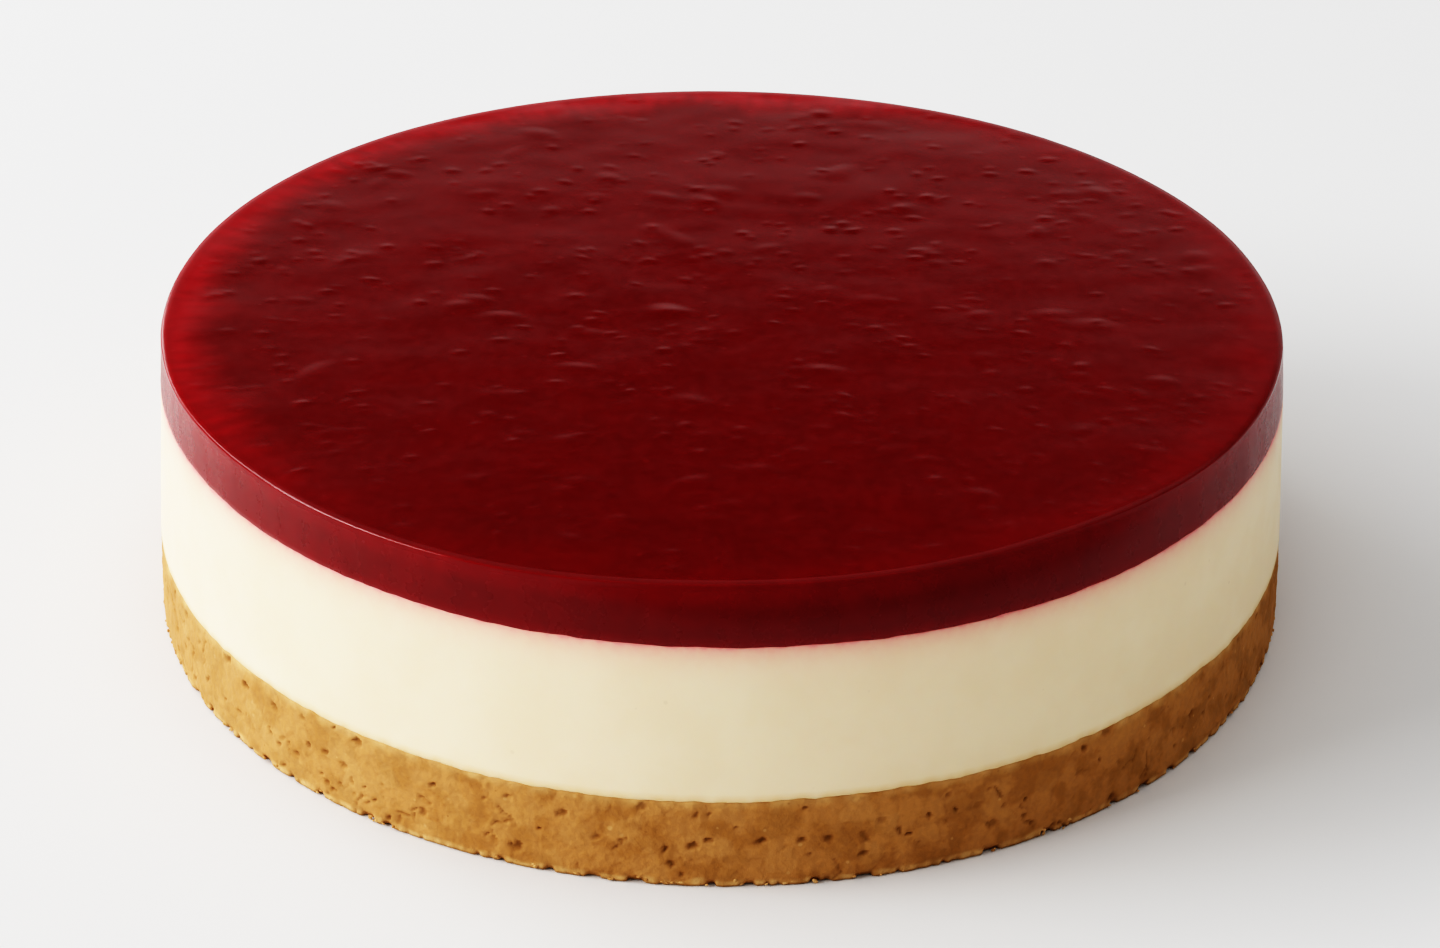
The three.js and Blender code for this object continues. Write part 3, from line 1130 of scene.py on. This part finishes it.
@dataclass
class CreamFilling(CakePart):
    """The cream cheese layer, smooth sided, tucked into the base below and under the jelly above.

    Attributes:
        tuck: How far it reaches into the base, so that no gap shows.
        edge: Size of its softened top edge.
        row: Size of the rows of faces.
    """

    tuck: float = 0.6 * MM
    edge: float = 0.2 * MM
    row: float = 1.0 * MM

    COLUMNS = 720
    # Heights of the close rows over the base, and waves in the side
    FOOT_ROWS = (0.0, 0.3 * MM, 0.7 * MM, 1.3 * MM)
    SIDE_WAVES = ((0.05 * MM, 60, 6, 51, 11.0 * MM), (0.02 * MM, 210, 16, 52, 3.5 * MM))

    def zones(self) -> list[Zone]:
        """Works out the profile over a level base.

        Returns:
            Zones from the middle of the underside to the middle of the top.
        """
        low, high = self.form.base_depth, self.form.filling_top
        under = low - self.tuck
        wide, narrow = self.form.waist_radius, self.form.rim_radius
        levels = [low + up for up in self.FOOT_ROWS]
        levels += even_steps(low + 2.0 * MM, high - self.edge, self.row)
        side = [(wide + (narrow - wide) * (z - low) / (high - low), z) for z in levels]
        foot = [(wide - FINE_LIP, under), (wide - 0.7 * MM, under), (wide - 0.25 * MM, low - 0.35 * MM)]
        top = [(narrow - 0.3 * self.edge, high - 0.3 * self.edge), (narrow - self.edge, high)]
        top += [(narrow - FINE_LIP, high)]
        inner = narrow - COARSE_START
        return [
            Zone(((0.0, under), (inner, under)), COARSE_COLUMNS),
            Zone(tuple(foot + side + top), self.COLUMNS),
            Zone(((inner, high), (0.0, high)), COARSE_COLUMNS),
        ]

    def build(self) -> Object:
        """Makes the piece.

        Returns:
            The piece.
        """
        skin = Skin.turned("cream_layer", self.zones())
        z, turn = skin.z, skin.turn
        low, high, radius = self.form.base_depth, self.form.filling_top, self.form.rim_radius
        outer = ease(radius - COARSE_START, radius - 1.0 * MM, skin.radius)
        wobble = waves_over(turn, z, self.SIDE_WAVES) - 0.06 * MM
        falling = np.clip(1.0 - (z - low) / (high - low), 0.0, 1.0)
        level_base = BASE_LEAN * skin.x
        base_line = self.form.base_line(skin.x, turn) - low
        rise = falling * level_base
        rise += outer * ease(3.0 * MM, 0.0, z - low) * (base_line - level_base)
        rise += outer * ease(1.5 * MM, 0.0, high - z) * (self.form.jelly_line(turn) - high)
        soak = ease(1.5 * MM, 0.0, z - low) * (0.75 + waves_round(turn, (0.35, 300, 53)))
        write_mask(skin.mesh, "soak", np.clip(soak, 0.0, 1.0))
        skin.move(self.form, outer * wobble, rise)
        piece = add_piece("cream_layer", skin.mesh)
        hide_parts(Layer.FILLING.node)
        return piece


@dataclass
class BiscuitBase(CakePart):
    """The pressed crumb base: its side broken by pits and cracks, its foot ragged.

    Attributes:
        pits: Number of pits round the side.
        cracks: Number of short cracks round the side.
        row: Size of the rows of faces.
    """

    pits: int = 270
    cracks: int = 80
    row: float = 0.37 * MM

    COLUMNS = 1728
    # Waves in the side, in the shape of the breaks and, where they are above 0, gaps in the foot
    SIDE_WAVES = (
        (0.07 * MM, 320, 16, 65, 2.0 * MM),
        (0.05 * MM, 750, 40, 66, 0.85 * MM),
        (0.12 * MM, 46, 4, 67, 8.0 * MM),
    )
    BREAK_WAVES = ((0.45, 900, 32, 62, 0.7 * MM), (0.25, 1500, 48, 60, 0.42 * MM))
    FOOT_GAPS = ((0.9, 170, 68), (0.45, 430, 69))
    # Pits, in millimetres: least length and what chance adds, heights of their middles, and depths
    PIT_LENGTH, PIT_EXTRA = 0.9, 1.5
    PIT_HEIGHTS, PIT_DEPTHS = (0.8, 15.4), (0.22, 0.60)
    # Cracks: number of parts, then in millimetres heights of their starts, and each part's length, width and
    # depth
    CRACK_PARTS = (2, 6)
    CRACK_HEIGHTS, CRACK_LENGTHS = (2.0, 14.5), (1.0, 2.2)
    CRACK_WIDTHS, CRACK_DEPTHS = (0.4, 0.6), (0.12, 0.4)
    # How far the foot stands back, how much more in its gaps, and how far the gaps rise
    FOOT_BACK, GAP_BACK, GAP_RISE = 0.15 * MM, 0.60 * MM, 0.42 * MM
    # Depth at which a break's painted shade would be full
    FULL_SHADE_DEPTH = 0.66 * MM

    def zones(self) -> list[Zone]:
        """Works out the profile of the pressed base.

        Returns:
            Zones from the middle of the underside to the middle of the top.
        """
        foot, waist, depth = self.form.foot_radius, self.form.waist_radius - 0.1 * MM, self.form.base_depth
        low = [(foot - FINE_LIP, 0.0), (foot - 0.45 * MM, 0.0), (foot - 0.18 * MM, 0.09 * MM)]
        low += [(foot - 0.04 * MM, 0.27 * MM)]
        levels = even_steps(0.65 * MM, depth - 0.35 * MM, self.row)
        side = [(foot + (waist - foot) * z / depth, z) for z in levels]
        high = [(waist - 0.15 * MM, depth - 0.1 * MM), (waist - 0.5 * MM, depth), (waist - FINE_LIP, depth)]
        inner = foot - COARSE_START
        return [
            Zone(((0.0, 0.0), (inner, 0.0)), COARSE_COLUMNS),
            Zone(tuple(low + side + high), self.COLUMNS),
            Zone(((inner, depth), (0.0, depth)), COARSE_COLUMNS),
        ]

    def breaks(self, skin: Skin) -> Array:
        """Depth of the pits and cracks.

        Args:
            skin: Points of the base.

        Returns:
            Depths into the crumb.
        """
        draw = np.random.default_rng(61)
        way_round = FULL_TURN * self.form.foot_radius
        along, z = skin.angle * self.form.foot_radius, skin.z
        ragged = waves_over(skin.turn, z, self.BREAK_WAVES)
        depth = np.zeros_like(along)

        def stamp(at: float, up: float, length: float, width: float, tilt: float, deep: float) -> None:
            """Presses one ragged oval into the side.

            Args:
                at: Place of its middle along the side.
                up: Height of its middle.
                length: Its length.
                width: Its width.
                tilt: How far its length is turned from level, in radians.
                deep: Its depth.
            """
            off = (along - at + way_round / 2.0) % way_round - way_round / 2.0
            rise = z - up
            long_way = (off * math.cos(tilt) + rise * math.sin(tilt)) / (length / 2.0)
            short_way = (rise * math.cos(tilt) - off * math.sin(tilt)) / (width / 2.0)
            away = np.hypot(long_way, short_way) + ragged
            np.maximum(depth, deep * ease(1.15, 0.45, away), out=depth)

        for _ in range(self.pits):
            length = (self.PIT_LENGTH + self.PIT_EXTRA * draw.uniform(0.0, 1.0) ** 2) * MM
            stamp(
                at=draw.uniform(0.0, way_round),
                up=draw.uniform(*self.PIT_HEIGHTS) * MM,
                length=length,
                width=length * draw.uniform(0.4, 0.8),
                tilt=draw.normal(0.0, 0.5),
                deep=draw.uniform(*self.PIT_DEPTHS) * MM,
            )
        for _ in range(self.cracks):
            at, up = draw.uniform(0.0, way_round), draw.uniform(*self.CRACK_HEIGHTS) * MM
            tilt = draw.normal(0.0, 0.7)
            for _ in range(draw.integers(*self.CRACK_PARTS)):
                length, width = draw.uniform(*self.CRACK_LENGTHS) * MM, draw.uniform(*self.CRACK_WIDTHS) * MM
                stamp(at, up, length, width, tilt, draw.uniform(*self.CRACK_DEPTHS) * MM)
                at += 0.7 * length * math.cos(tilt)
                up += 0.7 * length * math.sin(tilt)
                tilt += draw.normal(0.0, 0.6)
        return depth

    def build(self) -> Object:
        """Makes the piece.

        Returns:
            The piece.
        """
        skin = Skin.turned("crumb_base", self.zones())
        x, z, turn = skin.x, skin.z, skin.turn
        depth, proud = self.form.base_depth, CRUMB_PROUD - 0.05 * MM
        outer = ease(self.form.rim_radius - 10.0 * MM, self.form.rim_radius - 0.5 * MM, skin.radius)
        on_side = (skin.radius > self.form.waist_radius - 0.9 * MM).astype(float)

        level, edge, edge_level = CrumbCells(150, 5, 63).wrap(turn, z / (4.2 * MM))
        fine_level, fine_edge, _ = CrumbCells(520, 16, 64).wrap(turn, z / (1.25 * MM))
        seam = ease(0.10, 0.0, edge) * (edge_level > 0.6)
        relief = 0.06 * MM * (level - 0.5) + 0.08 * MM * (fine_level - 0.5)
        relief -= 0.09 * MM * seam + 0.04 * MM * ease(0.15, 0.0, fine_edge)
        broken = self.breaks(skin)
        relief = np.minimum(relief + waves_over(turn, z, self.SIDE_WAVES), proud) - broken

        gap = ease(0.0, 0.35, waves_round(turn, *self.FOOT_GAPS))
        near_foot = ease(1.9 * MM, 0.1 * MM, z)
        relief += on_side * near_foot * waves_round(turn, (0.16 * MM, 230, 74))
        relief = np.minimum(relief, proud) - on_side * near_foot * (self.FOOT_BACK + self.GAP_BACK * gap)
        lift = outer * near_foot * gap * self.GAP_RISE * (z + 0.4 * MM) / (z + 1.0 * MM)

        level_base = BASE_LEAN * x
        line = self.form.base_line(x, turn) - depth
        rise = z / depth * level_base + outer * ease(0.7, 1.0, z / depth) * (line - level_base)

        soaked = ease(depth - 2.2 * MM, depth - 0.2 * MM, z)
        soaked *= 0.30 + waves_round(turn, (0.45, 210, 72))
        flake_top = 1.5 * MM + waves_round(turn, (0.9 * MM, 130, 73))
        flaky = ease(1.15, 0.65, z / flake_top) * (1.0 - gap)
        flaky *= 0.20 + 0.60 * ease(-0.35, 0.35, Waves(310, 1, 70).wrap(turn))
        # Painted light: the side that faces the left is paler
        painted_left_light = 0.22 * ease(0.1, 0.9, facing(skin.angle, LEFT))
        pale_tint_and_light = np.maximum(np.maximum(soaked, flaky), 0.0) + painted_left_light + 0.16 * (level - 0.5)
        # Painted shade: darker in the foot's gaps, along the very foot, in the seams between crumbs and the
        # deeper a break is
        foot_shade = 0.75 * gap * ease(1.1 * MM, 0.3 * MM, z)
        foot_shade = np.maximum(foot_shade, 0.60 * ease(0.50 * MM, 0.22 * MM, z))
        pit_shade = broken / self.FULL_SHADE_DEPTH + 0.15 * seam + on_side * foot_shade
        write_mask(skin.mesh, "pale_tint_and_light", np.clip(pale_tint_and_light, 0.0, 1.0))
        write_mask(skin.mesh, "pit_shade", np.clip(pit_shade, 0.0, 0.9))
        skin.move(self.form, on_side * relief, rise + lift)
        piece = add_piece("crumb_base", skin.mesh)
        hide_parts(Layer.BASE.node)
        return piece


@dataclass
class FootCrumbs(CakePart):
    """Small crumbs that cling round the foot of the base.

    Attributes:
        count: Number of crumbs.
        size: Smallest and largest crumb.
        clearance: Least height of a crumb's underside.
    """

    count: int = 300
    size: Pair = (0.40 * MM, 1.1 * MM)
    clearance: float = 0.02 * MM

    def build(self) -> Object:
        """Makes the piece.

        Returns:
            The piece.
        """
        draw = np.random.default_rng(71)
        body = bmesh.new()
        for _ in range(self.count):
            size = draw.uniform(*self.size)
            angle = draw.uniform(0.0, FULL_TURN)
            height = 0.5 * size + abs(draw.normal(0.0, 0.5)) * MM
            made = bmesh.ops.create_icosphere(body, subdivisions=1, radius=0.5)["verts"]
            for vertex in made:
                vertex.co *= draw.uniform(0.75, 1.15)
            width, thickness = size * draw.uniform(0.9, 1.6), size * draw.uniform(0.5, 1.0)
            shape = Matrix.Diagonal((width, size * 0.7, thickness, 1.0))
            tip = Matrix.Rotation(draw.normal(0.0, 0.3), 4, "Y")
            radius = self.form.foot_radius * self.form.outline(np.array(angle))
            radius += draw.uniform(-0.30, 0.2) * MM - 0.25 * size
            way = Matrix.Rotation(angle, 4, "Z") @ Matrix.Translation((0.0, -radius, height))
            bmesh.ops.transform(body, matrix=way @ tip @ shape, verts=made)
        mesh = make_mesh("foot_crumbs", body)
        reach_x, reach_y = self.form.reach
        lowest, highest = (-reach_x, -reach_y, self.clearance), (reach_x, reach_y, self.form.height)
        points = np.clip(read_points(mesh), lowest, highest)
        write_points(mesh, points)
        tints = draw.uniform(0.1, 0.9, self.count)
        write_mask(mesh, "pale_tint_and_light", np.repeat(tints, len(points) // self.count))
        # The loose crumbs carry no painted shade
        write_mask(mesh, "pit_shade", np.zeros(len(points)))
        return add_piece("foot_crumbs", mesh)


def looking_from(turn: float, rise: float, distance: float) -> Matrix:
    """Works out the place of something that looks at the cake's foot.

    Args:
        turn: Degrees round the cake from its front towards the right.
        rise: Degrees above the floor.
        distance: Distance from the cake's foot.

    Returns:
        The place, with the way that it looks.
    """
    round_cake = Matrix.Rotation(math.radians(turn), 4, "Z")
    tilt = Matrix.Rotation(0.25 * FULL_TURN - math.radians(rise), 4, "X")
    return round_cake @ tilt @ Matrix.Translation((0.0, 0.0, distance))


@dataclass(frozen=True)
class SoftLamp:
    """A rectangular studio light that faces the cake.

    Attributes:
        name: Name of the lamp.
        turn: Degrees round the cake from its front towards the right.
        rise: Degrees above the floor.
        distance: Distance from the cake's foot.
        length: Level size.
        height: Upright size.
        power: Watts.
    """

    name: str
    turn: float
    rise: float
    distance: float
    length: float
    height: float
    power: float

    def hang(self) -> None:
        """Adds the lamp to the scene."""
        light = bpy.data.lights.new(self.name, "AREA")
        light.shape = "RECTANGLE"
        light.size, light.size_y = self.length, self.height
        light.energy = self.power
        add_object(self.name, light).matrix_world = looking_from(self.turn, self.rise, self.distance)


@dataclass
class Studio:
    """A pale floor, soft light from the left and a camera that looks down on the cake's front.

    Attributes:
        floor_tone: Colour of the floor.
        floor_half: Half of the floor's size.
        lamps: The lights.
    """

    floor_tone: Colour = (0.80, 0.799, 0.799, 1.0)
    floor_half: float = 6.0
    lamps: tuple[SoftLamp, ...] = (
        SoftLamp("soft_key", turn=-78.0, rise=26.0, distance=3.6, length=2.6, height=0.80, power=89.0),
        SoftLamp("soft_window", turn=-110.0, rise=40.0, distance=1.7, length=1.7, height=0.55, power=12.0),
        SoftLamp("soft_back", turn=-142.0, rise=20.0, distance=1.7, length=0.8, height=0.35, power=2.6),
    )

    # Steps in the brightness all round, each with where it starts and ends and its two values. Places are
    # parts of a direction: 0 is level, or the middle from left to right, and 1 is straight up or behind.
    WALLS = ((0.47, 0.66), (0.325, 0.56))
    BEHIND = ((0.45, 0.65), (0.0, 1.0))
    LOW_GLOW = ((0.24, 0.43), (0.48, 0.16))
    LOW_GLOW_STARTS = ((0.10, 0.24), (0.0, 1.0))
    LOW_GLOW_ENDS = ((0.45, 0.47), (1.0, 0.0))
    PANEL = ((0.02, 0.14), (0.84, 0.50))
    PANEL_STARTS = ((0.395, 0.436), (0.0, 1.0))
    PANEL_ENDS = ((0.56, 0.66), (1.0, 0.0))

    # The photo's view: distance and angles from the point that the camera looks at
    VIEW_DISTANCE = 0.8
    VIEW_RISE = 28.1004
    VIEW_ROLL = 0.6406
    VIEW_TARGET = (-0.00016, -0.00024, 0.02193)
    LENS = 110.852
    SENSOR = 36.0
    NEAREST, FARTHEST = 0.05, 50.0

    # How the camera answers light: brightness in the scene and in the picture
    FILM_WHITE = 1.6
    FILM_CURVE = {
        0.04: 0.0067, 0.08: 0.0307, 0.13: 0.0869,
        0.20: 0.1983, 0.30: 0.3670, 0.43: 0.5493,
        0.60: 0.7189, 0.85: 0.8623, 1.20: 0.9507,
    }
    FILM_TOP = 0.9938

    def lay_floor(self) -> None:
        """Lays the floor, which isn't part of the cake."""
        body = bmesh.new()
        bmesh.ops.create_grid(body, x_segments=1, y_segments=1, size=self.floor_half)
        floor = add_object("floor", make_mesh("floor", body))
        material = bpy.data.materials.new("pale_floor")
        material.use_nodes = True
        surface = material.node_tree.nodes["Principled BSDF"]
        surface.inputs["Base Color"].default_value = self.floor_tone
        surface.inputs["Roughness"].default_value = 0.75
        surface.inputs["Specular IOR Level"].default_value = 0.2
        floor.data.materials.append(material)

    def hang_lights(self) -> None:
        """Hangs the lamps and sets the brightness all round: a pale room with a dark panel behind."""
        for lamp in self.lamps:
            lamp.hang()
        world = bpy.data.worlds.new("studio_walls")
        world.use_nodes = True
        bpy.context.scene.world = world
        wiring = Wiring(world.node_tree)
        way = wiring.node("ShaderNodeTexCoord").outputs["Generated"]
        parts = wiring.node("ShaderNodeSeparateXYZ", {0: way}).outputs
        height, off_middle = parts["Z"], wiring.math("ABSOLUTE", parts["X"])
        behind = wiring.span(parts["Y"], *self.BEHIND)
        glow = wiring.span(height, *self.LOW_GLOW, smooth=False)
        panel = wiring.span(off_middle, *self.PANEL)
        for step in (self.LOW_GLOW_STARTS, self.LOW_GLOW_ENDS):
            glow = wiring.times(glow, wiring.span(height, *step))
        for step in (self.PANEL_STARTS, self.PANEL_ENDS):
            panel = wiring.times(panel, wiring.span(height, *step))
        walls = wiring.plus(wiring.span(height, *self.WALLS), wiring.times(glow, behind))
        left = wiring.math("SUBTRACT", 1.0, wiring.times(panel, behind))
        background = {"Color": (1.0, 1.0, 1.0, 1.0), "Strength": wiring.times(walls, left)}
        wiring.feed(world.node_tree.nodes["Background"], background)

    def set_camera(self) -> None:
        """Sets the camera to the photo's view."""
        camera = bpy.data.cameras.new("camera")
        camera.lens = self.LENS
        camera.sensor_width = self.SENSOR
        camera.sensor_fit = "HORIZONTAL"
        camera.clip_start, camera.clip_end = self.NEAREST, self.FARTHEST
        viewer = add_object("camera", camera)
        place = looking_from(0.0, self.VIEW_RISE, self.VIEW_DISTANCE)
        roll = Matrix.Rotation(math.radians(self.VIEW_ROLL), 4, "Z")
        viewer.matrix_world = Matrix.Translation(self.VIEW_TARGET) @ place @ roll
        bpy.context.scene.camera = viewer

    def load_film(self) -> None:
        """Sets how the picture answers light: deep shadows and soft whites."""
        view = bpy.context.scene.view_settings
        view.view_transform = "Standard"
        view.use_curve_mapping = True
        mapping = view.curve_mapping
        mapping.white_level = (self.FILM_WHITE,) * 3
        curve = mapping.curves[3]
        curve.points[-1].location = (1.0, self.FILM_TOP)
        for light, tone in self.FILM_CURVE.items():
            curve.points.new(light / self.FILM_WHITE, tone)
        mapping.update()


def main() -> None:
    """Builds the cake and its studio."""
    logging.basicConfig(level=logging.INFO, format="%(name)s: %(message)s")
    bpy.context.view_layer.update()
    form = CakeForm.from_frame()
    effects = Effects()

    jelly = JellyFinish().material(effects)
    cream = CreamFinish(jelly_foot=form.filling_top).material(effects)
    crumb = CrumbFinish().material(effects)

    parts = (JellyTop(form), CreamFilling(form), BiscuitBase(form), FootCrumbs(form))
    for part, material in zip(parts, (jelly, cream, crumb, crumb)):
        piece = part.build()
        part.dress(piece, material)
        piece.data.calc_loop_triangles()
        log.info("%s: %d triangles", piece.name, len(piece.data.loop_triangles))

    studio = Studio()
    studio.lay_floor()
    studio.hang_lights()
    studio.set_camera()
    studio.load_film()


if __name__ == "__main__":
    main()
